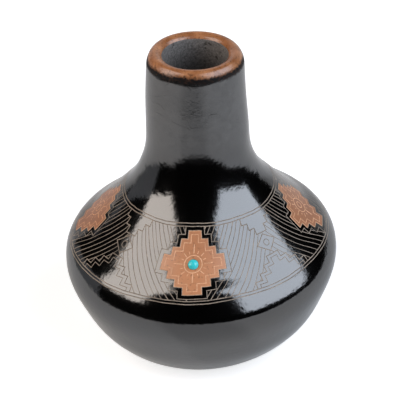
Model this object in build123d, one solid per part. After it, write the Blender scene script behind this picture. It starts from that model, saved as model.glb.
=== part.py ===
from build123d import *
import math
import os

# A coil-built pueblo jar in burnished black ware, with a sienna lip and one turquoise cabochon.
# Lengths in millimetres, angles in degrees. Origin at the middle of the foot, +Z up, -Y the front.

# The outside of the jar
jar_height = 131.4
foot_radius = 31.3
waist_radius = 56.2
waist_height = 39.0
root_radius = 27.35
root_height = 75.0
neck_radius = 19.1
lip_radius = 3.2

# The thickness of the clay
wall = 6.0
floor_thickness = 7.0

# The neck was set on by hand: it stands a little off centre and bends slowly towards +X
neck_offset = 1.1
root_lean = 0.7
rim_lean = 2.7

# The course that joins neck and shoulder ends this far above the root, and the lip's is this high
root_rise = 5.6
rim_height = 9.6

# The turquoise cabochon, its bed of adhesive and the seat bored for them in the shoulder
stone_radius = 2.05
stone_girdle = 0.5
stone_dome = 1.1
stone_clearance = 0.1
bed_thickness = 0.4
seat_depth = 0.8
stone_bearing = -95.2

# Points of the outline between those sizes, as shares of the rise and of the change in radius
bowl_outline_shares = ((0.128, 0.304), (0.308, 0.579), (0.615, 0.840))
shoulder_outline_shares = ((0.208, 0.050), (0.319, 0.150), (0.444, 0.348), (0.583, 0.534), (0.778, 0.764))
neck_outline_shares = ((0.188, 0.590), (0.470, 0.863))

# How far up the shoulder the stone lies, and where the neck begins and ends its step to the side
stone_rise_share = 0.567
drift_shares = (0.36, 0.945)

# Where one course of clay ends and the next begins, as shares of the same rises
bowl_seam_shares = (0.31, 0.62, 0.92)
shoulder_seam_shares = (0.22, 0.43, 0.71, 0.92)
neck_coil_count = 4

# Greatest distance between two rings of the modelled surface
ring_step = 3.0

shoulder_rise = root_height - waist_height
lip_height = jar_height - lip_radius
lip_center_radius = neck_radius - lip_radius
stone_height = waist_height + stone_rise_share * shoulder_rise
drift_start = waist_height + drift_shares[0] * shoulder_rise
drift_end = waist_height + drift_shares[1] * shoulder_rise


def stretch(start, end, shares):
    """Points from start to end, each a height and a radius, by shares of the way between them."""
    inner = [
        (start[0] + rise * (end[0] - start[0]), start[1] + turn * (end[1] - start[1]))
        for rise, turn in shares
    ]
    return [start] + inner


def outline_points():
    """Heights and radii of the outside, from the edge of the foot up to the middle of the lip."""
    foot = (0, foot_radius)
    waist = (waist_height, waist_radius)
    root = (root_height, root_radius)
    neck_top = (lip_height, neck_radius)
    points = stretch(foot, waist, bowl_outline_shares)
    points += stretch(waist, root, shoulder_outline_shares)
    points += stretch(root, neck_top, neck_outline_shares)
    return points + [neck_top]


def outline_slopes(points):
    """Change of radius with height at each point, from the parabola through it and its neighbours."""
    rises = [b[0] - a[0] for a, b in zip(points, points[1:])]
    steps = [(b[1] - a[1]) / (b[0] - a[0]) for a, b in zip(points, points[1:])]
    middle = [
        (rises[i + 1] * steps[i] + rises[i] * steps[i + 1]) / (rises[i] + rises[i + 1])
        for i in range(len(steps) - 1)
    ]
    return [2 * steps[0] - middle[0]] + middle + [2 * steps[-1] - middle[-1]]


points = outline_points()
slopes = outline_slopes(points)


def outside(height):
    """Radius and slope of the outside at a height, on a smooth curve through the outline's points."""
    i = 0
    while i < len(points) - 2 and height > points[i + 1][0]:
        i += 1
    low, high = points[i], points[i + 1]
    rise = high[0] - low[0]
    t = (height - low[0]) / rise
    radius = (
        (1 + 2 * t) * (1 - t) ** 2 * low[1]
        + t * (1 - t) ** 2 * rise * slopes[i]
        + t**2 * (3 - 2 * t) * high[1]
        + t**2 * (t - 1) * rise * slopes[i + 1]
    )
    slope = (
        6 * t * (t - 1) * (low[1] - high[1]) / rise
        + (1 - t) * (1 - 3 * t) * slopes[i]
        + t * (3 * t - 2) * slopes[i + 1]
    )
    return radius, slope


def inside_radius(height):
    """Radius of the inside: the wall is measured square to the outside, and thickens to the lip."""
    radius, slope = outside(height)
    share = min(max((height - root_height) / (lip_height - root_height), 0), 1)
    thickness = wall + share * (2 * lip_radius - wall)
    return radius - thickness * math.hypot(1, slope)


def outside_radius(height):
    """Radius of the outside alone."""
    return outside(height)[0]


def lean_at(height):
    """Lean of the rings towards +X, in degrees."""
    if height < drift_start:
        return 0
    if height < drift_end:
        return root_lean * (height - drift_start) / (drift_end - drift_start)
    return root_lean + (rim_lean - root_lean) * (height - drift_end) / (jar_height - drift_end)


def drift_at(height):
    """How far the centre of a ring lies from the jar's axis, towards +X."""
    if height < drift_start:
        return 0
    span = drift_end - drift_start
    share = min((height - drift_start) / span, 1)
    lower = min(height, drift_end)
    drift = neck_offset * (3 * share**2 - 2 * share**3)
    drift += math.radians(lean_at(lower)) * (lower - drift_start) / 2
    if height > drift_end:
        drift += math.radians(root_lean + lean_at(height)) * (height - drift_end) / 2
    return drift


def ring_plane(height):
    """Plane of the ring whose centre is at a height."""
    lean = math.radians(lean_at(height))
    return Plane(
        origin=(drift_at(height), 0, height),
        x_dir=(math.cos(lean), 0, -math.sin(lean)),
        z_dir=(math.sin(lean), 0, math.cos(lean)),
    )


def seam_heights():
    """Heights of the seams between the courses, from the foot to the lip's course."""
    bowl = [share * waist_height for share in bowl_seam_shares]
    shoulder = [waist_height + share * shoulder_rise for share in shoulder_seam_shares]
    rim = jar_height - rim_height
    neck_start = root_height + root_rise
    step = (rim - neck_start) / neck_coil_count
    neck = [neck_start + i * step for i in range(neck_coil_count)]
    return bowl + shoulder + neck + [rim]


def ring_heights(low, high):
    """Heights of the rings that the wall is drawn through, evenly spaced."""
    count = math.ceil((high - low) / ring_step)
    return [low + i * (high - low) / count for i in range(count + 1)]


def form_through(heights, radius_at):
    """Solid through a circle at each height."""
    return loft([ring_plane(height) * Circle(radius_at(height)) for height in heights])


def bowl_floor(height):
    """The hollow of the base, a shallow dish that meets the inside of the wall at a height."""
    rim = inside_radius(height)
    slope = (inside_radius(height + ring_step) - rim) / ring_step
    dish = Spline((0, floor_thickness), (rim, height), tangents=[(1, 0), (slope, 1)])
    outline = dish + Line((rim, height), (0, height)) + Line((0, height), (0, floor_thickness))
    return revolve(Plane.XZ * make_face(outline), Axis.Z)


def jar_wall(base_top, top):
    """The jar's wall in one piece, from the foot to a height, before it is parted into courses."""
    outer = form_through(ring_heights(0, top), outside_radius)
    inner = form_through(ring_heights(base_top, top), inside_radius)
    return outer - inner - bowl_floor(base_top)


def rim_coil(seam):
    """The course above the last seam, turned about that ring's own axis and rounded over the lip."""
    heights = ring_heights(seam, lip_height)
    outer = [(outside_radius(height), height - seam) for height in heights]
    inner = [(inside_radius(height), height - seam) for height in reversed(heights)]
    crown = (lip_center_radius, jar_height - seam)
    outline = Spline(outer) + ThreePointArc(outer[-1], crown, inner[0]) + Spline(inner)
    outline += Line(inner[-1], outer[0])
    return ring_plane(seam) * revolve(Plane.XZ * make_face(outline), Axis.Z)


def stone_place():
    """Plane on the shoulder's surface at the stone, with its Z square to the wall."""
    radius, slope = outside(stone_height)
    bearing = math.radians(stone_bearing)
    out = Vector(math.cos(bearing), math.sin(bearing), 0)
    center = Vector(drift_at(stone_height), 0, stone_height) + out * radius
    return Plane(origin=center, z_dir=out - Vector(0, 0, slope))


def stone_seat(place):
    """What the seat's bore takes out of the shoulder."""
    bore = Cylinder(
        stone_radius + stone_clearance,
        seat_depth + stone_dome,
        align=(Align.CENTER, Align.CENTER, Align.MIN),
    )
    return place * Pos(0, 0, -seat_depth) * bore


def cabochon_bed(place):
    """The disc of adhesive at the bottom of the seat."""
    disc = Cylinder(stone_radius, bed_thickness, align=(Align.CENTER, Align.CENTER, Align.MIN))
    return place * Pos(0, 0, -seat_depth) * disc


def cabochon(place):
    """The stone: a short girdle under a domed top."""
    rise = stone_girdle + stone_dome
    dome_radius = (stone_radius**2 + stone_dome**2) / (2 * stone_dome)
    girdle = Cylinder(stone_radius, rise, align=(Align.CENTER, Align.CENTER, Align.MIN))
    stone = girdle & Pos(0, 0, rise - dome_radius) * Sphere(dome_radius)
    return place * Pos(0, 0, bed_thickness - seat_depth) * stone


def part_courses(jar, heights):
    """The courses of clay from the base up, each cut level with its own rings."""
    courses = []
    rest = jar
    for height in heights:
        halves = split(rest, bisect_by=ring_plane(height), keep=Keep.BOTH).solids().sort_by(Axis.Z)
        courses.append(halves[0])
        rest = halves[1]
    return courses + [rest]


def course_names():
    """A name for each course below the lip's."""
    bowl = [f"bowl_coil_{i + 1}" for i in range(len(bowl_seam_shares) - 1)]
    shoulder = [f"shoulder_coil_{i + 1}" for i in range(len(shoulder_seam_shares) - 1)]
    neck = [f"neck_coil_{i + 1}" for i in range(neck_coil_count)]
    return ["base_pancake"] + bowl + ["waist_coil"] + shoulder + ["neck_root_coil"] + neck


seams = seam_heights()
place = stone_place()
jar = jar_wall(seams[0], seams[-1]) - stone_seat(place)
nodes = dict(zip(course_names(), part_courses(jar, seams[:-1])))
nodes["rim_coil"] = rim_coil(seams[-1])
nodes["cabochon_bed"] = cabochon_bed(place)
nodes["turquoise_cabochon"] = cabochon(place)

os.makedirs("parts", exist_ok=True)
for name, shape in nodes.items():
    export_step(shape, f"parts/{name}.step")
    print(name, "volume", round(shape.volume))
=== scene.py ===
import math
import random

import bpy
import numpy as np
from mathutils import Matrix, Vector, geometry, kdtree


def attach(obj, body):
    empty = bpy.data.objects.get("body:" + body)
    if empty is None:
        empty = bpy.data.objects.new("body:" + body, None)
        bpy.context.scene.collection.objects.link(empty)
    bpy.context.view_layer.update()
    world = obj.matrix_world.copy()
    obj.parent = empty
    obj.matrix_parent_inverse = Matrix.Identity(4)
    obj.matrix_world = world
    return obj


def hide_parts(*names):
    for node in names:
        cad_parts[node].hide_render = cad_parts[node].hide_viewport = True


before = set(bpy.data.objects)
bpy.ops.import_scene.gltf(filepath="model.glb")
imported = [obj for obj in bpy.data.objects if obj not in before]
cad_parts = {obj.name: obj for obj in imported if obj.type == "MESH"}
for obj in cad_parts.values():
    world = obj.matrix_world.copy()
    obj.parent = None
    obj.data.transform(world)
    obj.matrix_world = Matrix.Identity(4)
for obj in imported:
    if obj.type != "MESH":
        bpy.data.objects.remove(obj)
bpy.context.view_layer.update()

# A coil-built pueblo jar in burnished black ware, engraved through its slip, with a sienna lip
# and one turquoise cabochon. Shapes are worked out in millimetres and radians, and meshes are
# made in metres. +Z is up and -Y is the front.
MM = 0.001

# The outside of the jar, with the values of its solids
jar_height = 131.4
foot_radius = 31.3
waist_radius = 56.2
waist_height = 39.0
root_radius = 27.35
root_height = 75.0
neck_radius = 19.1
lip_radius = 3.2
wall = 6.0
floor_thickness = 7.0
neck_offset = 1.1
root_lean = math.radians(0.7)
rim_lean = math.radians(2.7)
root_rise = 5.6
rim_height = 9.6
stone_radius = 2.05
stone_girdle = 0.5
stone_dome = 1.1
stone_clearance = 0.1
bed_thickness = 0.4
seat_depth = 0.8
stone_bearing = math.radians(-95.2)
bowl_outline_shares = ((0.128, 0.304), (0.308, 0.579), (0.615, 0.840))
shoulder_outline_shares = ((0.208, 0.050), (0.319, 0.150), (0.444, 0.348), (0.583, 0.534), (0.778, 0.764))
neck_outline_shares = ((0.188, 0.590), (0.470, 0.863))
stone_rise_share = 0.567
drift_shares = (0.36, 0.945)
bowl_seam_shares = (0.31, 0.62, 0.92)
shoulder_seam_shares = (0.22, 0.43, 0.71, 0.92)
neck_coil_count = 4

shoulder_rise = root_height - waist_height
lip_height = jar_height - lip_radius
lip_center_radius = neck_radius - lip_radius
stone_height = waist_height + stone_rise_share * shoulder_rise
drift_start = waist_height + drift_shares[0] * shoulder_rise
drift_end = waist_height + drift_shares[1] * shoulder_rise

# How much lower the lip turns in outside than inside, and how far past its crown bare clay begins
lip_slope = 2.3
mouth_reach = 3.4

# How far the edges of the foot and of the stone are rounded, and how steeply the floor rises
foot_edge = 0.9
stone_edge = 0.12
dish_curve = 2.6

# How finely the clay is drawn
faces_round = 240
row_step = 1.2
skin_step = 1.7
stroke_step = 1.1
bottom_step = 0.08

# How far plain points of the belt keep from its cuts and from the stone's seat, how far the seat's
# wall slopes, and how near a point lies to a seam or to the sheet's ends to be put on it
cut_clear = 0.75
seat_clear = 0.5
seat_slope = 0.08
snap = 0.002

# What the potter's hands left on the outside: waves as turns round the jar, radians up a
# millimetre, where the wave starts, and its size; they fade towards the foot and the lip
hand_waves = (
    (2, 0.035, 0.4, 0.10),
    (3, -0.050, 1.9, 0.08),
    (5, 0.090, 4.0, 0.05),
    (8, -0.160, 2.2, 0.025),
)
hand_fade = 8.0

# How far from the stone the clay is true, measured along the shoulder's round
stone_calm = 12.0
calm_radius = 44.0

# Where the paddle flattened the clay above the waist: how deep, the bearing, how wide, and the
# heights where a flat starts, is deepest and ends
paddle_flats = (
    (0.81, math.radians(-97.4), 0.55, (39.3, 45.3, 61.4)),
    (1.26, math.radians(-42.9), 0.19, (40.4, 47.4, 59.4)),
    (0.52, math.radians(-130.0), 0.10, (38.3, 48.1, 59.4)),
    (0.37, math.radians(-72.9), 0.031, (39.3, 47.6, 60.6)),
)

# The flat at the front of the neck, where it begins to widen
neck_flat = 0.61
neck_flat_bearing = math.radians(-95)
neck_flat_spread = 0.6
neck_flat_height = 96.3
neck_flat_reach = 7.8

# Where the neck was left fuller than round: how far out, and the rest as for the flats
neck_swells = (
    (1.15, math.radians(180), 0.5, (90.0, 113.0, 140.0)),
    (0.90, 0.0, 0.5, (80.0, 104.0, 150.0)),
)

# The cuts of the engraving, and how much less than its full width a cut's bottom takes
cut_width = 0.39
fine_width = 0.31
cut_depth = 0.13
cut_edge = 0.01

# How a hand's lines waver across and up, given as the waves are, but steadily near the stone
across_wavers = ((7, 0.15, 0.0, 0.16), (31, 0.30, 0.0, 0.05))
up_wavers = ((9, 0.12, 2.0, 0.14), (37, 0.0, 1.0, 0.05), (3, 0.0, 0.6, 0.22))
steady_reach = 4.0

# The engraved belt: its border lines, its stepped diamonds and the hatching between them
border_inset = 1.5
border_gap = 1.25
field_count = 4
field_margin = 1.7
inner_margin = 1.5
hatch_gap = 2.0
hatch_angle = math.radians(58)
hatch_tilt = 0.012
hatch_jitter = 0.16
stroke_slip = (-0.12, 0.25)
stroke_widths = (0.85, 1.15)
shortest_stroke = 1.0

# The sun on each diamond: its ring, its heart where no stone lies, and its rays
sun_ring = 3.5
sun_heart = 1.5
ray_count = 16
ray_start = 4.2
ray_ends = (7.6, 5.3, 5.9, 5.3)

# Half widths, heights and steps of a diamond's upper half and of the peaks that stand and hang
# between the diamonds, and the lozenge between the two
field_form = (12.6, 12.9, 4)
peak_form = (11.2, 12.0, 4)
drop_form = (8.4, -8.4, 3)
peak_margin = 1.4
lozenge_half_width = 4.6
lozenge_half_height = 3.8
lozenge_rise = 2.2
eye_radius = 1.3


def outline_points():
    """Heights and radii of the outside, from the edge of the foot up to the middle of the lip."""
    heights = (0, waist_height, root_height, lip_height)
    radii = (foot_radius, waist_radius, root_radius, neck_radius)
    points = []
    for i, shares in enumerate((bowl_outline_shares, shoulder_outline_shares, neck_outline_shares)):
        rise = heights[i + 1] - heights[i]
        turn = radii[i + 1] - radii[i]
        points += [(heights[i] + a * rise, radii[i] + b * turn) for a, b in ((0, 0), *shares)]
    return np.array(points + [(lip_height, neck_radius)])


def outline_slopes(points):
    """Change of radius with height at each point, from the parabola through it and its neighbours."""
    rises = np.diff(points[:, 0])
    steps = np.diff(points[:, 1]) / rises
    middle = (rises[1:] * steps[:-1] + rises[:-1] * steps[1:]) / (rises[:-1] + rises[1:])
    return np.concatenate([[2 * steps[0] - middle[0]], middle, [2 * steps[-1] - middle[-1]]])


points = outline_points()
slopes = outline_slopes(points)


def outside(height):
    """Radius and slope of the outside at heights, on a smooth curve through the outline's points."""
    height = np.asarray(height, float)
    i = np.clip(np.searchsorted(points[:, 0], height) - 1, 0, len(points) - 2)
    low_height, low = points[i, 0], points[i, 1]
    high = points[i + 1, 1]
    rise = points[i + 1, 0] - low_height
    t = (height - low_height) / rise
    radius = (
        (1 + 2 * t) * (1 - t) ** 2 * low
        + t * (1 - t) ** 2 * rise * slopes[i]
        + t**2 * (3 - 2 * t) * high
        + t**2 * (t - 1) * rise * slopes[i + 1]
    )
    slope = (
        6 * t * (t - 1) * (low - high) / rise
        + (1 - t) * (1 - 3 * t) * slopes[i]
        + t * (3 * t - 2) * slopes[i + 1]
    )
    return radius, slope


def inside_radius(height):
    """Radius of the inside: the wall is measured square to the outside, and thickens to the lip."""
    radius, slope = outside(height)
    share = np.clip((height - root_height) / (lip_height - root_height), 0, 1)
    thickness = wall + share * (2 * lip_radius - wall)
    return radius - thickness * np.hypot(1, slope)


def lean_at(height):
    """Lean of the rings towards +X."""
    lower = np.clip((height - drift_start) / (drift_end - drift_start), 0, 1)
    upper = np.clip((height - drift_end) / (jar_height - drift_end), 0, 1)
    return root_lean * lower + (rim_lean - root_lean) * upper


def drift_at(height):
    """How far the centre of a ring lies from the jar's axis, towards +X."""
    share = np.clip((height - drift_start) / (drift_end - drift_start), 0, 1)
    low = np.clip(height, drift_start, drift_end)
    above = np.maximum(height - drift_end, 0)
    step = neck_offset * share**2 * (3 - 2 * share)
    return step + lean_at(low) * (low - drift_start) / 2 + (root_lean + lean_at(height)) * above / 2


def seam_heights():
    """Heights of the seams between the courses, from the foot to the lip's course."""
    bowl = [share * waist_height for share in bowl_seam_shares]
    shoulder = [waist_height + share * shoulder_rise for share in shoulder_seam_shares]
    rim = jar_height - rim_height
    neck_start = root_height + root_rise
    step = (rim - neck_start) / neck_coil_count
    return bowl + shoulder + [neck_start + i * step for i in range(neck_coil_count)] + [rim]


seams = seam_heights()


def ring_places(bearing, radius, height):
    """Places at radii round the rings' own centres; the lip's course keeps to one leaning axis."""
    ring = np.minimum(height, seams[-1])
    lean = lean_at(ring)
    rise = height - ring
    x = drift_at(ring) + rise * np.sin(lean) + radius * np.cos(bearing) * np.cos(lean)
    y = radius * np.sin(bearing)
    z = ring + rise * np.cos(lean) - radius * np.cos(bearing) * np.sin(lean)
    return np.stack([x, y, z], -1)


def ease(share):
    """A smooth step from 0 to 1."""
    share = np.clip(share, 0, 1)
    return share**2 * (3 - 2 * share)


def nearness(bearing, center, spread):
    """How near a bearing is to another, from 1 there down to almost 0 opposite."""
    return np.exp((np.cos(bearing - center) - 1) / spread)


def swell(height, start, full, end):
    """A rise from 0 at the start to 1 and back to 0 at the end."""
    return ease((height - start) / (full - start)) * ease((end - height) / (end - full))


def ripples(waves, bearing, height):
    """Slow waves, given by their turns, rates up the jar, starts and sizes."""
    return sum(
        size * np.sin(turns * bearing + rate * height + start) for turns, rate, start, size in waves
    )


def marks(given, bearing, height):
    """Flats or swells of the clay, given by their depths or rises, bearings, spreads and heights."""
    return sum(
        size * nearness(bearing, center, spread) * swell(height, *rows)
        for size, center, spread, rows in given
    )


def handwork(bearing, height):
    """How far the outside stands off its true round: waves and flats go inwards, swells outwards."""
    waves = ripples(hand_waves, bearing, height) - sum(size for *_, size in hand_waves)
    neck = neck_flat * nearness(bearing, neck_flat_bearing, neck_flat_spread)
    neck = neck * np.exp(-(((height - neck_flat_height) / neck_flat_reach) ** 2))
    aside = bearing - stone_bearing
    apart = np.hypot(calm_radius * np.sin(aside), height - stone_height)
    calm = np.where(np.cos(aside) < 0, 1, 1 - np.exp(-((apart / stone_calm) ** 2)))
    flats = marks(paddle_flats, bearing, height)
    swells = marks(neck_swells, bearing, height)
    fade = ease(height / hand_fade) * ease((jar_height - height) / hand_fade)
    return fade * (calm * waves - flats - neck + swells)


def outer_skin(bearing, height):
    """Places on the jar's outside."""
    return ring_places(bearing, outside(height)[0] + handwork(bearing, height), height)


def inner_skin(bearing, height):
    """Places on the jar's inside."""
    return ring_places(bearing, inside_radius(height), height)


def unit(vectors):
    """Vectors of length one."""
    return vectors / np.maximum(np.linalg.norm(vectors, axis=-1, keepdims=True), 1e-12)


def facing(surface, bearing, row):
    """Which way a surface faces, where bearings and rows both grow; found from close neighbours."""
    turn, step = 0.004, 0.25
    across = surface(bearing + turn, row) - surface(bearing - turn, row)
    along = surface(bearing, row + step) - surface(bearing, row - step)
    return unit(np.cross(across, along))


def in_scene(name, data):
    """An object of the scene."""
    made = bpy.data.objects.new(name, data)
    bpy.context.scene.collection.objects.link(made)
    return made


# Texture sheets are cut open behind, between two of the diamonds
cut_bearing = stone_bearing + 1.25 * math.pi
round_bearings = cut_bearing + np.linspace(0, 2 * math.pi, faces_round + 1)


class Piece:
    """The mesh of one piece, gathered face by face and then joined where corners meet."""

    def __init__(self, name):
        self.name = name
        self.faces = []

    def add(self, places, normals, spots, faces, finish=0):
        """Faces as rows of indices into places, with normals (or None) and texture spots by corner."""
        finish = np.broadcast_to(finish, len(faces))
        for face, spot, number in zip(faces, spots, finish):
            corners = places[face]
            if normals is None:
                normal = unit(np.cross(corners[1] - corners[0], corners[-1] - corners[0]))
                face_normals = np.repeat(normal[None], len(face), 0)
            else:
                face_normals = normals[face]
            self.faces.append((corners, face_normals, spot, int(number)))

    def strip(self, surface, rows, lane, finish=0, quarters=4, bearings=round_bearings):
        """A strip all the way round the surface, row by row; falling rows turn it inside out."""
        bearing, row = np.meshgrid(bearings, rows)
        places = surface(bearing, row)
        steady = np.clip(row, row.min() + 0.01, row.max() - 0.01)
        normals = facing(surface, bearing, steady) * np.sign(rows[-1] - rows[0])
        share = np.repeat(np.linspace(0, 1, len(rows)), len(bearings))
        index = np.arange(bearing.size).reshape(bearing.shape)
        a, b = index[:-1, :-1].ravel(), index[:-1, 1:].ravel()
        c, d = index[1:, 1:].ravel(), index[1:, :-1].ravel()
        faces = np.stack([a, b, c, d], -1)
        spots = lane_spots(bearing.ravel()[faces], share[faces], lane, quarters)
        self.add(places.reshape(-1, 3), normals.reshape(-1, 3), spots, faces, finish)

    def finish(self, materials, slot, node):
        """Joins the corners that meet and makes the object, which stands for its node."""
        soup = np.concatenate([corners for corners, *_ in self.faces])
        keys = np.round(soup * 2000).astype(np.int64)
        _, first, ids = np.unique(keys, axis=0, return_index=True, return_inverse=True)
        ids = ids.reshape(-1)
        vertices = soup[first] * MM
        polygons, normals, spots, finishes = [], [], [], []
        at = 0
        for corners, face_normals, spot, number in self.faces:
            face = ids[at : at + len(corners)]
            at += len(corners)
            kept = [i for i in range(len(face)) if face[i] != face[i - 1]]
            if len(kept) < 3 or len({int(face[i]) for i in kept}) < len(kept):
                continue
            polygons.append([int(face[i]) for i in kept])
            normals.extend(face_normals[kept])
            spots.extend(spot[kept])
            finishes.append(number)
        mesh = bpy.data.meshes.new(self.name)
        mesh.from_pydata(vertices.tolist(), [], polygons)
        for material in materials:
            mesh.materials.append(material)
        mesh.polygons.foreach_set("material_index", finishes)
        mesh.polygons.foreach_set("use_smooth", [True] * len(polygons))
        layer = mesh.uv_layers.new(name="OFBake")
        layer.data.foreach_set("uv", np.array(spots, np.float32).ravel())
        mesh.normals_split_custom_set(np.array(normals).tolist())
        mesh.update()
        piece = in_scene(self.name, mesh)
        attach(piece, "root")
        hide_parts(node)


# Lanes of the texture sheet, from low to high: outside, inside, and the seams below and above; the
# stone has a sheet of its own
outside_lane = (0.0, 0.64)
inside_lane = (0.65, 0.85)
lower_seam_lane = (0.86, 0.92)
upper_seam_lane = (0.93, 0.99)
stone_lane = (0.02, 0.98)
lane_margin = 0.03


def lane_spots(bearing, share, lane, quarters):
    """Texture spots of face corners: a lane holds the jar's quarters, one above the other."""
    span = 2 * math.pi / quarters
    turned = bearing - cut_bearing
    quarter = np.clip(np.floor(turned.mean(-1, keepdims=True) / span), 0, quarters - 1)
    u = lane_margin + (1 - 2 * lane_margin) * (turned / span - quarter)
    height = (lane[1] - lane[0]) / quarters
    v = lane[0] + height * (quarter + lane_margin + (1 - 2 * lane_margin) * share)
    return np.stack([u, v], -1)


def rows_between(low, high, step=row_step):
    """Evenly spaced rows from one height to another."""
    count = max(1, math.ceil(abs(high - low) / step))
    return np.linspace(low, high, count + 1)


def close_course(piece, height, top):
    """The flat ring where a course meets the next, on its top or under it."""

    def surface(bearing, share):
        outer = outside(height)[0] + handwork(bearing, height)
        return ring_places(bearing, outer + share * (inside_radius(height) - outer), height + 0 * bearing)

    lane = upper_seam_lane if top else lower_seam_lane
    piece.strip(surface, np.array([0.0, 1.0] if top else [1.0, 0.0]), lane, quarters=1)


def smooth_coil(name, low, high):
    """A course without engraving, between two seams."""
    piece = Piece(name)
    piece.strip(outer_skin, rows_between(low, high), outside_lane)
    piece.strip(inner_skin, rows_between(high, low, 2 * row_step), inside_lane, finish=1, quarters=1)
    close_course(piece, low, top=False)
    close_course(piece, high, top=True)
    return piece


def distances_along(outline):
    """How far along an outline of radii and heights each of its points lies."""
    return np.concatenate([[0], np.cumsum(np.hypot(*np.diff(outline, axis=0).T))])


def along_outline(outline, stand=None, put=ring_places):
    """A surface turned from an outline, whose rows are distances along it; what stands off it is added."""
    lengths = distances_along(outline)
    radii, heights = np.array(outline).T

    def surface(bearing, distance):
        radius = np.interp(distance, lengths, radii)
        height = np.interp(distance, lengths, heights)
        if stand:
            radius = radius + stand(bearing, distance, height)
        return put(bearing, radius, height)

    return surface


def shaped_rim(name):
    """The lip's course: a rounded roll of clay on the neck's last coil."""
    seam, edge = seams[-1], lip_height - lip_slope
    outer = [(float(outside(row)[0]), row) for row in np.linspace(seam, edge, 10)]
    inner = [(float(inside_radius(row)), row) for row in np.linspace(lip_height, seam, 10)]
    middle = (outer[-1][0] + inner[0][0]) / 2
    reach = (outer[-1][0] - inner[0][0]) / 2
    over = []
    for a in np.linspace(0, math.pi, 41)[1:-1]:
        start = edge if a < math.pi / 2 else lip_height
        over.append((middle + reach * math.cos(a), start + (jar_height - start) * math.sin(a)))
    outline = outer + over + inner
    lengths = distances_along(outline)
    turn, crown = lengths[len(outer) - 1], lengths[len(outer) + len(over) // 2]

    def stand(bearing, distance, height):
        level = np.interp(distance, [0, turn, crown], [seam, edge, jar_height])
        return np.where(distance < crown, handwork(bearing, level), 0)

    surface = along_outline(outline, stand)
    piece = Piece(name)
    mouth = crown + mouth_reach
    piece.strip(surface, rows_between(0, mouth, row_step / 2), outside_lane)
    piece.strip(surface, rows_between(mouth, lengths[-1]), inside_lane, finish=1, quarters=1)
    close_course(piece, seam, top=False)
    return piece


def shaped_base(name):
    """The pancake of clay that the coils stand on: a flat foot, a rounded edge and a dished floor."""
    seam = seams[0]
    inset = foot_radius - foot_edge
    gain = float(outside(foot_edge)[0]) - foot_radius
    outline = [(0, 0), (inset, 0)]
    for a in np.linspace(0, math.pi / 2, 8)[1:-1]:
        share = 1 - math.cos(a)
        outline.append((inset + foot_edge * math.sin(a) + gain * share, foot_edge * share))
    outline += [(float(outside(row)[0]), row) for row in np.linspace(foot_edge, seam, 14)]

    def stand(bearing, distance, height):
        return handwork(bearing, height)

    def dish(bearing, share):
        rim = inside_radius(seam)
        radius = rim * (1 - share)
        height = floor_thickness + (seam - floor_thickness) * (radius / rim) ** dish_curve
        return ring_places(bearing, radius, height)

    surface = along_outline(outline, stand)
    length = distances_along(outline)[-1]
    piece = Piece(name)
    piece.strip(surface, rows_between(inset, length, 1.0), outside_lane)
    piece.strip(surface, rows_between(0, inset, 4.0), lower_seam_lane, finish=2, quarters=1)
    piece.strip(dish, np.linspace(0, 1, 16), inside_lane, finish=1, quarters=1)
    close_course(piece, seam, top=True)
    return piece


# The plan of the engraved belt: millimetres round the jar, measured at the stone, and up its skin
plan_radius = float(outside(stone_height)[0])
plan_width = 2 * math.pi * plan_radius
fine_heights = np.linspace(seams[3], seams[6], 600)
fine_middles = (fine_heights[1:] + fine_heights[:-1]) / 2
fine_steps = np.diff(fine_heights) * np.hypot(1, outside(fine_middles)[1])
fine_rises = np.concatenate([[0], np.cumsum(fine_steps)])
plan_rise = float(fine_rises[-1])
plan_floor = border_inset + border_gap
plan_ceiling = plan_rise - border_inset - border_gap
plan_middle = (plan_floor + plan_ceiling) / 2
seat_radius = stone_radius + stone_clearance
stone_rise = float(np.interp(stone_height, fine_heights, fine_rises))
stone_across = (stone_bearing - cut_bearing) % (2 * math.pi) * plan_radius
field_spacing = plan_width / field_count
first_field = stone_across % field_spacing


def belt_skin(across, rise):
    """Places on the skin of the engraved belt, from its plan."""
    return outer_skin(cut_bearing + across / plan_radius, np.interp(rise, fine_rises, fine_heights))


def hand_drawn(line):
    """A line of the plan as a steady hand draws it, with small slow departures."""
    x, y = np.array(line, float).T
    turn = 2 * math.pi * x / plan_width
    calm = 1 - np.exp(-(((x - stone_across) ** 2 + (y - stone_rise) ** 2) / steady_reach**2))
    across, up = ripples(across_wavers, turn, y), ripples(up_wavers, turn, y)
    return np.stack([x + across * calm, y + up * calm], -1)


def divided(line, step, closed=False):
    """The line with its runs divided into steps."""
    ends = list(line) + ([line[0]] if closed else [])
    made = []
    for start, end in zip(ends, ends[1:]):
        count = max(1, math.ceil(math.dist(start, end) / step))
        made += [
            (start[0] + (end[0] - start[0]) * i / count, start[1] + (end[1] - start[1]) * i / count)
            for i in range(count)
        ]
    return made if closed else made + [tuple(line[-1])]


def within(spots, polygon):
    """Which spots lie inside a polygon, by how often a level line from each crosses its edges."""
    inside = np.zeros(len(spots), bool)
    x, y = spots[:, 0], spots[:, 1]
    for (ax, ay), (bx, by) in zip(polygon, np.roll(polygon, -1, 0)):
        spans = (ay > y) != (by > y)
        rise = by - ay if by != ay else 1.0
        inside ^= spans & (x < ax + (bx - ax) * (y - ay) / rise)
    return inside


def stepped_peak(across, rise, half_width, height, steps, margin=0.0):
    """Corners of a stepped peak that stands on a level; a negative height hangs it down."""
    growth = margin if height > 0 else -margin
    corner = []
    for i in range(steps):
        x = half_width * (1 - i / steps) + margin
        corner.append((x, height * i / steps + growth if i else 0))
        corner.append((x, height * (i + 1) / steps + growth))
    return [(across + x, rise + y) for x, y in corner + [(-x, y) for x, y in corner[::-1]]]


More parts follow.
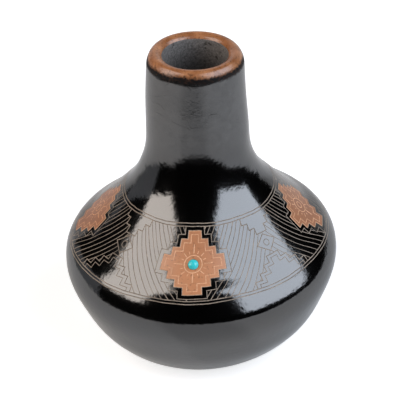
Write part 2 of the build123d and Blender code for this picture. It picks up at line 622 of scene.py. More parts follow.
def diamond(across, margin=0.0):
    """Corners of a diamond with stepped sides, grown by a margin."""
    upper = stepped_peak(across, stone_rise, *field_form, margin)[1:-1]
    return upper + [(2 * across - x, 2 * stone_rise - y) for x, y in upper]


def panel_forms(panel):
    """The forms in the middle of a panel: a standing peak, a hanging one and a lozenge."""
    middle = plan_middle + lozenge_rise
    peak = stepped_peak(panel, plan_floor, *peak_form)
    drop = stepped_peak(panel, plan_ceiling, *drop_form)
    right, left = panel + lozenge_half_width, panel - lozenge_half_width
    top, foot = middle + lozenge_half_height, middle - lozenge_half_height
    return peak, drop, [(right, middle), (panel, top), (left, middle), (panel, foot)]


def circle(across, rise, radius, count):
    """Corners of a circle."""
    turns = [2 * math.pi * i / count for i in range(count)]
    return [(across + radius * math.cos(a), rise + radius * math.sin(a)) for a in turns]


class Plan:
    """The engraving, drawn flat: cuts as three rails each, and what the triangles must follow."""

    def __init__(self):
        self.spots, self.links = [], []
        self.bottoms, self.half_widths = [], []
        self.polygons = []

    def follow(self, line, closed=False):
        """Points that the triangles' edges run along; gives the number of the first."""
        first, count = len(self.spots), len(line)
        self.spots += [tuple(spot) for spot in line]
        self.links += [(first + i, first + i + 1) for i in range(count - 1)]
        if closed:
            self.links.append((first + count - 1, first))
        return first

    def cut(self, line, width, closed=False):
        """A cut along a line, drawn again across the sheet's ends where it runs over them."""
        line = hand_drawn(divided(line, stroke_step, closed))
        for shift in (-plan_width, 0.0, plan_width):
            moved = line + (shift, 0)
            if moved[:, 0].max() > -0.5 and moved[:, 0].min() < plan_width + 0.5:
                self.cut_here(moved, width, closed)

    def cut_here(self, line, width, closed):
        """The rails of one cut, square ended, and fine points along its bottom."""
        mitre_limit = 0.6
        heights = np.interp(line[:, 1], fine_rises, fine_heights)
        scale = np.stack([outside(heights)[0] / plan_radius, np.ones(len(line))], -1)
        ahead = np.roll(line, -1, 0) - line
        behind = line - np.roll(line, 1, 0)
        if not closed:
            ahead[-1] = behind[-1]
            behind[0] = ahead[0]
        ahead = unit(ahead * scale)
        middle = unit(ahead + unit(behind * scale))
        reach = width / 2 / np.maximum((ahead * middle).sum(-1, keepdims=True), mitre_limit)
        offset = np.stack([-middle[:, 1], middle[:, 0]], -1) * reach / scale
        firsts = [self.follow(rail, closed) for rail in (line + offset, line, line - offset)]
        if not closed:
            for at in (0, len(line) - 1):
                self.links += [(firsts[0] + at, firsts[1] + at), (firsts[1] + at, firsts[2] + at)]
        fine = np.array(divided(line, bottom_step, closed))
        self.bottoms.append(fine)
        self.half_widths.append(np.full(len(fine), width / 2))

    def sienna(self, polygon):
        """An area of sienna slip, with its edge cut."""
        self.cut(polygon, cut_width, closed=True)
        self.polygons.append(hand_drawn(divided(polygon, stroke_step, closed=True)))

    def hatch(self, ground, holes, angle, chance):
        """Parallel fine cuts over a ground, left out of its holes, each a little off by chance."""
        spots = np.array(ground)
        center = spots.mean(0)
        along = np.array([math.cos(angle), math.sin(angle)])
        side = np.array([-along[1], along[0]])
        reach = (spots - center) @ side
        half_length = np.ptp(spots, 0).sum()
        offset = reach.min() + hatch_gap * 0.6
        while offset < reach.max():
            tilt = chance.uniform(-hatch_tilt, hatch_tilt)
            way = along * math.cos(tilt) + side * math.sin(tilt)
            start = center + side * offset - way * half_length
            for run in clear_runs(start, start + way * 2 * half_length, ground, holes):
                first = run[0] + way * chance.uniform(*stroke_slip)
                last = run[1] - way * chance.uniform(*stroke_slip)
                if (last - first) @ way > shortest_stroke:
                    self.cut([tuple(first), tuple(last)], fine_width * chance.uniform(*stroke_widths))
            offset += hatch_gap * (1 + chance.uniform(-hatch_jitter, hatch_jitter))


def clear_runs(start, end, ground, holes):
    """The runs of a straight line that lie in the ground and in none of its holes."""
    way = end - start
    stops = {0.0, 1.0}
    for polygon in [ground] + holes:
        for (ax, ay), (bx, by) in zip(polygon, polygon[1:] + polygon[:1]):
            edge = np.array([bx - ax, by - ay])
            turn = way[0] * edge[1] - way[1] * edge[0]
            if abs(turn) < 1e-9:
                continue
            gap = np.array([ax, ay]) - start
            t = (gap[0] * edge[1] - gap[1] * edge[0]) / turn
            u = (gap[0] * way[1] - gap[1] * way[0]) / turn
            if 0 < t < 1 and 0 <= u <= 1:
                stops.add(float(t))
    stops = sorted(stops)
    middles = start + np.outer((np.array(stops[1:]) + stops[:-1]) / 2, way)
    clear = within(middles, np.array(ground))
    for hole in holes:
        clear &= ~within(middles, np.array(hole))
    return [(start + a * way, start + b * way) for a, b, ok in zip(stops, stops[1:], clear) if ok]


def draw_field(plan, across):
    """A stepped diamond of sienna slip, with a line inside it and a small sun."""
    plan.sienna(diamond(across))
    plan.cut(diamond(across, -inner_margin), fine_width, closed=True)
    plan.cut(circle(across, stone_rise, sun_ring, 40), cut_width, closed=True)
    if abs(across - stone_across) > 1:
        plan.cut(circle(across, stone_rise, sun_heart, 20), cut_width, closed=True)
    for i in range(ray_count):
        turn = 2 * math.pi * i / ray_count
        x, y = math.cos(turn), math.sin(turn)
        ray = [(across + reach * x, stone_rise + reach * y) for reach in (ray_start, ray_ends[i % 4])]
        plan.cut(ray, fine_width if i % 2 else cut_width)


def draw_panel(plan, panel):
    """The forms in the middle of a panel, with a line inside the standing peak and the lozenge's eye."""
    peak, drop, lozenge = panel_forms(panel)
    plan.cut(peak, cut_width)
    plan.cut(stepped_peak(panel, plan_floor, *peak_form, -peak_margin), fine_width)
    plan.cut(drop, cut_width)
    plan.cut(lozenge, cut_width, closed=True)
    plan.cut(circle(panel, plan_middle + lozenge_rise, eye_radius, 18), fine_width, closed=True)


def draw_ground(plan, across, chance):
    """The hatched ground on both sides of a stepped diamond, out to the middles of its panels."""
    for side in (-1, 1):
        panel = across + side * field_spacing / 2
        ground = [(across, plan_floor), (panel, plan_floor), (panel, plan_ceiling), (across, plan_ceiling)]
        holes = [diamond(across, field_margin), *panel_forms(panel)]
        plan.hatch(ground, holes, side * hatch_angle, chance)


def draw_belt():
    """The whole engraving: borders, stepped diamonds, and hatched ground with stepped peaks."""
    plan = Plan()
    chance = random.Random(7)
    for rise in (border_inset, plan_floor, plan_rise - border_inset, plan_ceiling):
        border = [(plan_width * i / 180, rise) for i in range(-2, 183)]
        plan.cut_here(hand_drawn(border), cut_width, closed=False)
    fields = [first_field + i * field_spacing for i in range(field_count)]
    for across in fields:
        draw_field(plan, across)
        plan.cut(diamond(across, field_margin), fine_width, closed=True)
        draw_panel(plan, across + field_spacing / 2)
    for across in fields:
        draw_ground(plan, across, chance)
    return plan


def tree_of(places):
    """Places, sorted for finding the nearest."""
    tree = kdtree.KDTree(len(places))
    for i, place in enumerate(places):
        tree.insert(place, i)
    tree.balance()
    return tree


def triangulated(plan):
    """The belt's plan as triangles that follow every cut, the seams, the seat and the sheet's ends."""
    levels = [float(np.interp(seam, fine_heights, fine_rises)) for seam in seams[3:7]]
    ends = [plan_width * i / faces_round for i in range(faces_round + 1)]
    plan.follow([(x, levels[0]) for x in ends] + [(x, levels[3]) for x in ends[::-1]], closed=True)
    for level in levels[1:3]:
        plan.follow([(x, level) for x in ends])
    for radius in (seat_radius, seat_radius - seat_slope):
        plan.follow(circle(stone_across, stone_rise, radius, 48), closed=True)
    tree = tree_of([(x, y, 0) for x, y in np.concatenate(plan.bottoms)])
    rows = int(plan_rise / skin_step)
    columns = int(plan_width / skin_step)
    for row in range(1, rows):
        for column in range(columns):
            spot = ((column + 0.25 + 0.5 * (row % 2)) * plan_width / columns, plan_rise * row / rows)
            clear = tree.find((*spot, 0))[2] > cut_clear
            if clear and math.dist(spot, (stone_across, stone_rise)) > seat_radius + seat_clear:
                plan.spots.append(spot)
    spots, _, faces, *_ = geometry.delaunay_2d_cdt(plan.spots, plan.links, [], 0, 1e-5)
    spots = np.array([tuple(spot) for spot in spots], float)
    for level in levels:
        spots[np.abs(spots[:, 1] - level) < snap, 1] = level
    for end in (0.0, plan_width):
        spots[np.abs(spots[:, 0] - end) < snap, 0] = end
    left = spots[spots[:, 0] == 0, 1]
    for i in np.flatnonzero(spots[:, 0] == plan_width):
        nearest = left[np.abs(left - spots[i, 1]).argmin()]
        if abs(nearest - spots[i, 1]) < snap:
            spots[i, 1] = nearest
    faces = np.array([tuple(face) for face in faces])
    a, b, c = (spots[faces[:, i]] for i in range(3))
    area = np.cross(b - a, c - a)
    faces[area < 0] = faces[area < 0][:, ::-1]
    middle = (a + b + c) / 3
    kept = (np.abs(area) > 1e-7) & (middle[:, 0] > 0) & (middle[:, 0] < plan_width)
    kept &= (middle[:, 1] > levels[0]) & (middle[:, 1] < levels[3])
    return spots, faces[kept], levels


def nearest_cuts(plan, spots):
    """How far each spot of the belt is from the bottom of the nearest cut, and half that cut's width."""
    half_widths = np.concatenate(plan.half_widths)
    tree = tree_of(belt_skin(*np.concatenate(plan.bottoms).T))
    distances, halves = np.zeros(len(spots)), np.zeros(len(spots))
    for i, place in enumerate(belt_skin(*spots.T)):
        _, near, distances[i] = tree.find(place)
        halves[i] = half_widths[near]
    return distances, halves


def engraved_belt(names):
    """The three shoulder courses, parted from one sheet so that the engraving runs over their seams."""
    plan = draw_belt()
    spots, faces, levels = triangulated(plan)
    distances, halves = nearest_cuts(plan, spots)
    depths = cut_depth / cut_width * 2 * np.maximum(halves - distances, 0)
    from_stone = np.hypot(spots[:, 0] - stone_across, spots[:, 1] - stone_rise)
    depths = np.where(from_stone < seat_radius - seat_slope / 2, seat_depth, depths)
    normals = facing(belt_skin, *spots.T)
    places = belt_skin(*spots.T) - normals * depths[:, None]

    middle = spots[faces].mean(1)
    distances, halves = nearest_cuts(plan, middle)
    in_sienna = np.zeros(len(faces), bool)
    for polygon in plan.polygons:
        in_sienna |= within(middle, polygon)
    in_cut = distances < halves - cut_edge
    from_stone = np.hypot(middle[:, 0] - stone_across, middle[:, 1] - stone_rise)
    in_seat = from_stone < seat_radius
    finish = np.where(in_cut | in_seat, 2, 0) + in_sienna

    bearings = cut_bearing + spots[:, 0] / plan_radius
    made = []
    for name, low, high, low_seam, high_seam in zip(names, levels, levels[1:], seams[3:], seams[4:]):
        piece = Piece(name)
        here = (middle[:, 1] > low) & (middle[:, 1] < high)
        share = (spots[:, 1] - low) / (high - low)
        for flat in (False, True):
            picked = here & ((in_cut | in_seat) == flat)
            chosen = faces[picked]
            lane = lane_spots(bearings[chosen], share[chosen], outside_lane, 4)
            piece.add(places, None if flat else normals, lane, chosen, finish[picked])
        rows = rows_between(high_seam, low_seam, 2 * row_step)
        piece.strip(inner_skin, rows, inside_lane, finish=4, quarters=1)
        for level, seam, up in ((low, low_seam, False), (high, high_seam, True)):
            on_seam = (spots[:, 1] == level) & (spots[:, 0] >= 0) & (spots[:, 0] <= plan_width)
            edge = np.flatnonzero(on_seam)
            edge = edge[np.argsort(spots[edge, 0])]
            zip_edges(piece, places[edge], bearings[edge], seam, up)
        made.append(piece)
    return made


def zip_edges(piece, outer, outer_bearings, seam, up):
    """The flat ring at a seam of the belt, from the engraved edge in to the plain one."""
    inner = inner_skin(round_bearings, np.full(len(round_bearings), seam))
    places = np.concatenate([outer, inner])
    bearings = np.concatenate([outer_bearings, round_bearings])
    steps = [(bearing, 0) for bearing in outer_bearings[1:]]
    steps += [(bearing, 1) for bearing in round_bearings[1:]]
    i, j, faces = 0, len(outer), []
    for _, inward in sorted(steps):
        faces.append((i, j + 1 if inward else i + 1, j))
        i, j = (i, j + 1) if inward else (i + 1, j)
    faces = np.array(faces)
    if not up:
        faces = faces[:, ::-1]
    share = (np.arange(len(places)) >= len(outer)).astype(float)
    lane = upper_seam_lane if up else lower_seam_lane
    piece.add(places, None, lane_spots(bearings[faces], share[faces], lane, 1), faces, 4)


def shaped_cabochon(name):
    """The turquoise: a short girdle under a domed top, square to the shoulder where it lies."""
    radius, slope = outside(stone_height)
    out = np.array([math.cos(stone_bearing), math.sin(stone_bearing), 0])
    center = np.array([float(drift_at(stone_height)), 0, stone_height]) + out * radius
    z = unit(out - np.array([0, 0, float(slope)]))
    x = np.array([-math.sin(stone_bearing), math.cos(stone_bearing), 0])
    y = np.cross(z, x)

    def on_shoulder(bearing, radius, height):
        bearing, radius, height = (numbers[..., None] for numbers in (bearing, radius, height))
        return center + radius * (np.cos(bearing) * x + np.sin(bearing) * y) + height * z

    base = bed_thickness - seat_depth
    dome_radius = (stone_radius**2 + stone_dome**2) / (2 * stone_dome)
    middle = base + stone_girdle + stone_dome - dome_radius
    outline = [(0, base), (stone_radius - stone_edge, base), (stone_radius, base + stone_edge)]
    for a in np.linspace(math.asin(stone_radius / dome_radius), 0, 25):
        outline.append((dome_radius * math.sin(a), middle + dome_radius * math.cos(a)))
    rows = rows_between(0, distances_along(outline)[-1], 0.12)
    bearings = cut_bearing + np.linspace(0, 2 * math.pi, 73)
    piece = Piece(name)
    surface = along_outline(outline, put=on_shoulder)
    piece.strip(surface, rows, stone_lane, quarters=1, bearings=bearings)
    return piece


class Value:
    """A number or colour that varies over a surface; numbers have the operators that finishes use."""

    def __init__(self, finish, socket):
        self.finish = finish
        self.socket = socket

    def combine(self, operation, first, second):
        """A number from two others."""
        return self.finish.node("ShaderNodeMath", {"operation": operation}, {0: first, 1: second})

    def __add__(self, other):
        return self.combine("ADD", self, other)

    __radd__ = __add__

    def __sub__(self, other):
        return self.combine("SUBTRACT", self, other)

    def __rsub__(self, other):
        return self.combine("SUBTRACT", other, self)

    def __mul__(self, other):
        return self.combine("MULTIPLY", self, other)

    __rmul__ = __mul__

    def __truediv__(self, other):
        return self.combine("DIVIDE", self, other)

    def __pow__(self, other):
        return self.combine("POWER", self, other)


class Finish:
    """The nodes of a material or of the world, in the making."""

    def __init__(self, owner):
        self.owner = owner
        owner.use_nodes = True
        self.tree = owner.node_tree
        self.tree.nodes.clear()

    def node(self, kind, settings, sockets, output=0):
        """A node: its settings first, then the values or links of its sockets; gives one output."""
        node = self.tree.nodes.new(kind)
        for key, value in settings.items():
            if key != "stops":
                setattr(node, key, value)
                continue
            ramp = node.color_ramp.elements
            for i, (at, shade) in enumerate(value):
                stop = ramp[i] if i < len(ramp) else ramp.new(at)
                stop.position = at
                stop.color = (shade, shade, shade, 1)
        for key, value in sockets.items():
            if isinstance(value, Value):
                self.tree.links.new(value.socket, node.inputs[key])
            else:
                node.inputs[key].default_value = value
        return Value(self, node.outputs[output]) if len(node.outputs) else None

    def ramp(self, value, *stops):
        """A grey ramp over a number, by stops of place and shade."""
        return self.node("ShaderNodeValToRGB", {"stops": stops}, {"Fac": value})

    def by_height(self, *stops, sway=0.0):
        """A grey ramp over the height, by stops of millimetres and shade; its sway is in metres."""
        whole = 200
        share = (self.parts()[2] + sway) / (whole * MM)
        return self.ramp(share, *((height / whole, shade) for height, shade in stops))

    def blend(self, share, first, second):
        """A colour between two, by a share."""
        return self.node("ShaderNodeMix", {"data_type": "RGBA"}, {0: share, 6: first, 7: second}, 2)

    def noise(self, scale, detail=2.0, roughness=0.5, distortion=0.0, vector=None):
        """Cloudy noise from 0 to 1, over the places of the surface or another vector."""
        sockets = {"Vector": vector or self.place(), "Scale": scale, "Detail": detail}
        sockets.update({"Roughness": roughness, "Distortion": distortion})
        return self.node("ShaderNodeTexNoise", {}, sockets)

    def place(self):
        """Where a point of the surface is, in metres."""
        return self.node("ShaderNodeTexCoord", {}, {}, "Object")

    def parts(self):
        """The three numbers of a point's place."""
        return [self.node("ShaderNodeSeparateXYZ", {}, {0: self.place()}, i) for i in range(3)]

    def around(self):
        """Which way a point lies from the jar's axis, as two numbers, and its height."""
        x, y, z = self.parts()
        radius = (x * x + y * y + 1e-9) ** 0.5
        return x / radius, y / radius, z

    def joined(self, x, y, z):
        """A vector of three numbers."""
        return self.node("ShaderNodeCombineXYZ", {}, {0: x, 1: y, 2: z})

    def slip(self, tone, roughness, height=None, rise=0.0, ior=1.5, level=0.5):
        """A shader of clay, slip or stone, bumped by a height whose full rise is in metres."""
        sockets = {"Base Color": tone, "Roughness": roughness, "IOR": ior, "Specular IOR Level": level}
        if height:
            sockets["Normal"] = self.node("ShaderNodeBump", {}, {"Height": height, "Distance": rise})
        return self.node("ShaderNodeBsdfPrincipled", {}, sockets)

    def paper(self, tone, glow):
        """A shader of matt paper that glows white by a share."""
        sockets = {"Base Color": tone, "Roughness": 1.0, "Specular IOR Level": 0.0}
        sockets["Emission Color"] = self.blend(glow, (0, 0, 0, 1), (1, 1, 1, 1))
        sockets["Emission Strength"] = 1.0
        return self.node("ShaderNodeBsdfPrincipled", {}, sockets)

    def over(self, share, first, second):
        """A shader between two, by a share."""
        return self.node("ShaderNodeMixShader", {}, {0: share, 1: first, 2: second})

    def rays(self, kind):
        """1 for rays of a kind and 0 for the others."""
        return self.node("ShaderNodeLightPath", {}, {}, kind)

    def mirrored(self):
        """1 for rays that mirror or pass through something and 0 for the others."""
        return self.rays("Is Glossy Ray") + self.rays("Is Transmission Ray")

    def end(self, shader):
        """The material, with this shader at its end."""
        self.node("ShaderNodeOutputMaterial", {}, {"Surface": shader})
        return self.owner


def new_material(name):
    """A material in the making."""
    return Finish(bpy.data.materials.new(name))


def polishing(finish):
    """Strokes of the polishing stone: up and down the neck and shoulder, and round the belly."""
    x, y, z = finish.around()
    sway = finish.noise(55.0) * 0.05
    x, y = x + sway, y - sway
    upright = finish.noise(1.0, 4.0, 0.65, vector=finish.joined(x * 75, y * 75, z * 55))
    level = finish.noise(1.0, 4.0, 0.65, vector=finish.joined(x * 12, y * 12, z * 900))
    share = finish.by_height((80, 0.35), (100, 1.0), sway=finish.noise(30.0) * 0.012)
    return upright * share + level * (1 - share)


def black_burnished(finish):
    """Black slip rubbed with a stone until it shines, with the strokes of the stone still in it."""
    strokes = polishing(finish)
    cloud = finish.noise(60.0, 3.0)
    fine = finish.noise(1500.0)
    grain = finish.noise(620.0, 4.0, 0.7)
    mottle = finish.noise(210.0, 5.0, 0.65)
    ripple = finish.noise(720.0, 0.0)
    dimple = finish.noise(270.0, 0.0)
    neck = finish.by_height((91, 0.0), (101, 1.0))
    foot = finish.by_height((26, 1.0), (36, 0.0))
    hair = finish.noise(62.0, 1.0, distortion=0.8)
    hair = finish.ramp(hair, (0.496, 0.0), (0.5, 1.0), (0.504, 0.0))
    hair = hair * neck * finish.ramp(cloud, (0.45, 0.0), (0.55, 1.0))
    # Paler mottled patches on the neck and the lower bowl, where the slip mirrors the white paper: partly
    # the slip's own mottling, partly a painted reflection
    haze_and_painted_reflection = (neck + foot * 0.6) * finish.ramp(grain * 0.5 + mottle * 0.5, (0.38, 0.0), (0.62, 1.0))
    tone = finish.blend(cloud, (0.0002, 0.0002, 0.0002, 1), (0.0009, 0.0008, 0.0008, 1))
    tone = finish.blend(haze_and_painted_reflection, tone, (0.034, 0.033, 0.032, 1))
    height = strokes * 0.8 + fine * 0.3 + grain * 0.8 + (ripple * 0.9 + dimple * 1.2) * (1 - neck * 0.75)
    height = height + neck * mottle * 0.8 - hair * 0.6
    roughness = 0.055 + 0.06 * strokes + 0.03 * cloud + 0.01 * fine + 0.1 * hair
    return finish.slip(tone, roughness, height, 0.00003, ior=1.6, level=1.0)


sienna_deep = (0.260, 0.095, 0.042, 1)
sienna_light = (0.640, 0.280, 0.130, 1)
smoke = (0.045, 0.020, 0.012, 1)


def sienna_burnished():
    """Sienna slip of the stepped diamonds: the black fired back out of it, cloudy and well rubbed, and
    painted lighter towards the front as a painted sheen.
    """
    finish = new_material("sienna_burnished_slip")
    strokes = polishing(finish)
    cloud = finish.noise(120.0, 4.0, 0.6)
    speck = finish.noise(900.0)
    # Painted sheen: the sienna is painted lighter the further to the front (-Y) it lies
    front = finish.ramp(finish.parts()[1] * -20, (0.3, 0.0), (0.85, 1.0))
    tone = finish.blend(cloud * 0.55 + front * 0.45, sienna_deep, sienna_light)
    tone = finish.blend(finish.ramp(speck, (0.28, 0.35), (0.40, 0.0)), tone, smoke)
    roughness = 0.30 + 0.08 * strokes + 0.06 * cloud
    return finish.end(finish.slip(tone, roughness, strokes + 0.3 * speck, 0.00003, level=0.7))


def scratched_clay(name, low, high):
    """Bare clay at the bottom of the cuts, paler than the slip and without its shine."""
    finish = new_material(name)
    grain = finish.noise(1800.0, 3.0)
    cloud = finish.noise(160.0)
    tone = finish.blend(finish.ramp(grain * 0.6 + cloud * 0.4, (0.35, 0.0), (0.62, 1.0)), low, high)
    return finish.end(finish.slip(tone, 0.55 + 0.2 * grain, grain, 0.00004, ior=1.45))


def unglazed_inside():
    """The unslipped inside, wiped level with the fingers, grainy, and painted darker the deeper it lies as
    painted shade.
    """
    finish = new_material("smoked_inside_clay_and_painted_shade")
    x, y, z = finish.around()
    wiped = finish.noise(1.0, 4.0, 0.7, vector=finish.joined(x * 4, y * 4, z * 620))
    grain = finish.noise(1300.0, 4.0, 0.7)
    cloud = finish.noise(90.0, 3.0)
    pits = finish.ramp(finish.noise(480.0), (0.26, 0.0), (0.36, 1.0))
    # Painted shade: the inside is painted darker the deeper it lies in the jar, and its pits darker too
    painted_shade_depth = finish.by_height((100, 0.15), (117, 0.5), (126, 1.0))
    tone = finish.blend(cloud * 0.4 + wiped * 0.6, (0.050, 0.045, 0.042, 1), (0.120, 0.112, 0.106, 1))
    tone = finish.blend(finish.ramp(grain, (0.40, 0.0), (0.66, 0.8)), tone, (0.220, 0.205, 0.195, 1))
    tone = finish.blend(painted_shade_depth * (0.25 + 0.75 * pits), (0.016, 0.012, 0.010, 1), tone)
    height = grain * 0.5 + pits * 0.5 + wiped * 0.7
    return finish.end(finish.slip(tone, 0.72 + 0.15 * grain, height, 0.0003, ior=1.45))


def foot_clay():
    """The underside of the foot: black slip rubbed dull where the jar has stood."""
    finish = new_material("worn_foot_slip")
    x, y, _ = finish.parts()
    cloud = finish.noise(110.0, 4.0, 0.6)
    worn = finish.ramp((x * x + y * y) ** 0.5 * 20 + cloud * 0.5, (0.62, 0.0), (0.88, 1.0))
    tone = finish.blend(worn * 0.6, (0.010, 0.009, 0.009, 1), (0.060, 0.050, 0.043, 1))
    height = cloud + 0.3 * finish.noise(1300.0)
    return finish.end(finish.slip(tone, 0.38 + 0.25 * worn + 0.1 * cloud, height, 0.00015))


# Where the lip's sienna and the sooty fringe under it begin and how far they fade and waver, in metres
lip_edge = 0.1305
fringe_edge = 0.1282
edge_fade = 0.0016
fringe_fade = 0.0014
edge_waver = 0.0016
edge_specks = 0.0022


def lip_slip():
    """The lip's course: black below, sienna over the crown, with a smoky ragged fringe between them."""
    finish = new_material("lip_slip")
    x, _, z = finish.parts()
    drift = float(drift_at(seams[-1])) * MM
    tilt = math.tan(float(lean_at(seams[-1])))
    strokes = polishing(finish)
    cloud = finish.noise(150.0, 4.0, 0.6)
    waver = finish.noise(90.0, 3.0)
    speck = finish.noise(900.0, 4.0, 0.7)
    ragged = z + (x - drift) * tilt + waver * edge_waver + speck * edge_specks
    share = finish.ramp((ragged - lip_edge) / edge_fade, (0.1, 0.0), (0.9, 1.0))
    dull = finish.ramp((ragged - fringe_edge) / fringe_fade, (0.1, 0.0), (0.9, 1.0))
    tone = finish.ramp(cloud, (0.3, 0.0), (0.7, 1.0))
    tone = finish.blend(tone, (0.250, 0.088, 0.030, 1), (0.500, 0.220, 0.098, 1))
    tone = finish.blend(finish.ramp(speck, (0.34, 0.6), (0.46, 0.0)), tone, smoke)
    height = strokes * 0.8 + cloud * 0.3 + speck * 0.8
    rubbed = finish.slip(tone, 0.18 + 0.12 * cloud, height, 0.00004, level=0.7)
    soot = finish.blend(finish.ramp(speck, (0.5, 0.0), (0.66, 0.8)), (0.004, 0.003, 0.003, 1), smoke)
    smoked = finish.slip(soot, 0.5 + 0.2 * speck, speck, 0.0001, ior=1.3, level=0.4)
    return finish.end(finish.over(share, finish.over(dull, black_burnished(finish), smoked), rubbed))


def turquoise_stone():
    """Polished turquoise, cloudy blue-green with a few brown veins."""
    finish = new_material("turquoise_stone")
    cloud = finish.noise(700.0, 4.0, distortion=0.6)
    web = finish.noise(900.0, 3.0, distortion=1.5)
    vein = finish.ramp(web, (0.485, 0.0), (0.5, 0.75), (0.515, 0.0))
    tone = finish.blend(cloud, (0.005, 0.480, 0.560, 1), (0.070, 0.800, 0.800, 1))
    tone = finish.blend(vein * finish.ramp(cloud, (0.5, 0.0), (0.62, 1.0)), tone, (0.060, 0.100, 0.085, 1))
    return finish.end(finish.slip(tone, 0.16 + 0.1 * cloud, 1 - vein, 0.00002, ior=1.6))


def setting_adhesive():
    """The dark adhesive under the stone."""
    finish = new_material("setting_adhesive")
    cloud = finish.noise(900.0)
    tone = finish.blend(cloud, (0.030, 0.022, 0.018, 1), (0.080, 0.060, 0.045, 1))
    return finish.end(finish.slip(tone, 0.3 + 0.2 * cloud))


def white_paper():
    """Matt white paper that looks white by itself too, with a painted shadow: darker, and less bright in
    what mirrors it, in a wedge in front of the jar.
    """
    finish = new_material("white_paper")
    x, y, _ = finish.parts()
    # How far a point lies from the wedge's middle line, in half widths of the wedge
    aside = (x - 0.030 - 0.37 * y) / (0.52 * y + 0.008)
    # Painted shadow: the wedge is painted a darker grey and glows less in what mirrors it
    dull = finish.ramp(aside * aside * 0.5, (0.3, 1.0), (0.7, 0.0))
    dull = dull * finish.ramp(-5 * y, (0.15, 0.0), (0.35, 1.0))
    tone = finish.blend(dull, (0.66, 0.66, 0.66, 1), (0.56, 0.56, 0.56, 1))
    glow = finish.rays("Is Camera Ray") * 0.70 + finish.mirrored() * (0.22 - 0.08 * dull)
    return finish.end(finish.paper(tone, glow))


def grey_card():
    """Matt grey card, faintly lit by itself in what mirrors it."""
    finish = new_material("grey_card")
    return finish.end(finish.paper((0.40, 0.40, 0.42, 1), finish.mirrored() * 0.13))


def plain_mesh(name, places, faces, material):
    """A mesh of the studio from places in metres."""
    mesh = bpy.data.meshes.new(name)
    mesh.from_pydata(places, [], faces)
    mesh.materials.append(material)
    made = in_scene(name, mesh)
    return made


def table_sheet():
    """The white sheet: flat from the table's front edge, then wider and curving up behind the jar."""
    front, widening, back, bend, top = -0.254, 0.35, 0.80, 0.30, 1.1
    table_sides, wall_sides = (-0.37, 0.46), (-1.00, 1.30)
    line = [(front, 0.0), (widening, 0.0), (back, 0.0)]
    for a in np.linspace(0, math.pi / 2, 13)[1:]:
        line.append((back + bend * math.sin(a), bend * (1 - math.cos(a))))
    line.append((back + bend, top))
    places = [(x, y, z) for y, z in line for x in (table_sides if y < back else wall_sides)]
    faces = [(2 * i, 2 * i + 1, 2 * i + 3, 2 * i + 2) for i in range(len(line) - 1)]
    sheet = plain_mesh("white_sheet", places, faces, white_paper())
    sheet.data.polygons.foreach_set("use_smooth", [True] * len(faces))


def side_card():
    """A low grey card to the left, which only the jar sees."""
    near, far, low, high = -0.03, 0.9, -0.2, 0.33
    places = [(-1.0, near, low), (-1.0, far, low), (-1.0, far, high), (-1.0, near, high)]
    plain_mesh("side_card", places, [(0, 1, 2, 3)], grey_card()).visible_camera = False


def softbox(name, turns, size, radiance, color):
    """A large soft lamp a metre off, facing the jar; turns are bearing, elevation and roll in degrees."""
    bearing, elevation, roll = (math.radians(turn) for turn in turns)
    lamp = bpy.data.lights.new(name, "AREA")
    lamp.shape = "RECTANGLE"
    lamp.size, lamp.size_y = size
    lamp.energy = math.pi * size[0] * size[1] * radiance
    lamp.color = color
    made = in_scene(name, lamp)
    level = math.cos(elevation)
    way = Vector((level * math.cos(bearing), level * math.sin(bearing), math.sin(elevation)))
    made.location = Vector((0, 0, 0.06)) + way
    facing_jar = way.to_track_quat("Z", "Y").to_matrix() @ Matrix.Rotation(roll, 3, "Z")
    made.rotation_euler = facing_jar.to_euler()
    made.visible_camera = False


def dim_world():
    """A dark room around the lit table, white to the eye and faintly so in what mirrors it."""
    world = bpy.data.worlds.new("dim_room")
    bpy.context.scene.world = world
    sky = Finish(world)
    shades = (0.002, 0.002, 0.002, 1), (1, 1, 1, 1)
    dark, white = (
        sky.node("ShaderNodeBackground", {}, {"Color": shade, "Strength": 1.0}) for shade in shades
    )
    both = sky.over(sky.rays("Is Camera Ray") + sky.mirrored() * 0.002, dark, white)
    sky.node("ShaderNodeOutputWorld", {}, {"Surface": both})


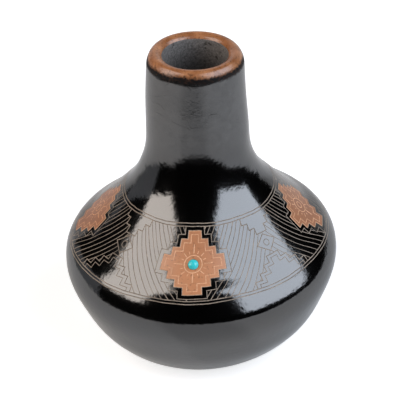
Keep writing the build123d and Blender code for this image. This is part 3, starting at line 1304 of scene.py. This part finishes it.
def photo_camera():
    """The camera at the photograph's angle, level but for a slight roll."""
    elevation, roll, distance = math.radians(33.17), math.radians(-3.88), 742.2
    camera = bpy.data.cameras.new("photo_camera")
    camera.lens = 163.56
    camera.sensor_width = 36
    camera.clip_end = 20
    made = in_scene("photo_camera", camera)
    aim = Vector((0.96, 0, 62.31)) * MM
    away = Vector((0, -math.cos(elevation), math.sin(elevation))) * distance * MM
    tilt = Matrix.Rotation(math.pi / 2 - elevation, 4, "X") @ Matrix.Rotation(roll, 4, "Z")
    made.matrix_world = Matrix.Translation(aim + away) @ tilt
    bpy.context.scene.camera = made


bpy.context.scene.view_settings.view_transform = "Standard"
photo_camera()
dim_world()
table_sheet()
side_card()
softbox("left_softbox", (-162.2, 37.6, 3.3), (0.70, 0.88), 4.1, (1.0, 0.91, 0.84))
softbox("right_softbox", (-26.4, 34.6, -8.9), (1.11, 0.88), 4.15, (0.82, 0.89, 1.0))

black = new_material("black_burnished_slip")
black_slip = black.end(black_burnished(black))
sienna_slip = sienna_burnished()
pale_cut = scratched_clay("scratched_pale_clay", (0.180, 0.145, 0.115, 1), (0.400, 0.330, 0.265, 1))
peach_cut = scratched_clay("scratched_peach_clay", (0.560, 0.290, 0.155, 1), (0.880, 0.540, 0.340, 1))
inside_clay = unglazed_inside()
plain_materials = [black_slip, inside_clay, foot_clay()]
belt_materials = [black_slip, sienna_slip, pale_cut, peach_cut, inside_clay]

shaped_base("slipped_base").finish(plain_materials, "black_slip", "base_pancake")
plain_coils = [("bowl_coil_1", 0), ("bowl_coil_2", 1), ("waist_coil", 2), ("neck_root_coil", 6)]
plain_coils += [(f"neck_coil_{i + 1}", 7 + i) for i in range(neck_coil_count)]
for node, i in plain_coils:
    course = smooth_coil("slipped_" + node, seams[i], seams[i + 1])
    course.finish(plain_materials, "black_slip", node)
shaped_rim("slipped_rim").finish([lip_slip(), inside_clay], "sienna_slip", "rim_coil")
belt_nodes = [f"shoulder_coil_{i + 1}" for i in range(3)]
for node, course in zip(belt_nodes, engraved_belt(["engraved_" + node for node in belt_nodes])):
    course.finish(belt_materials, "black_slip", node)
shaped_cabochon("polished_cabochon").finish([turquoise_stone()], "turquoise", "turquoise_cabochon")
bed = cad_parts["cabochon_bed"]
bed.data.materials.clear()
bed.data.materials.append(setting_adhesive())
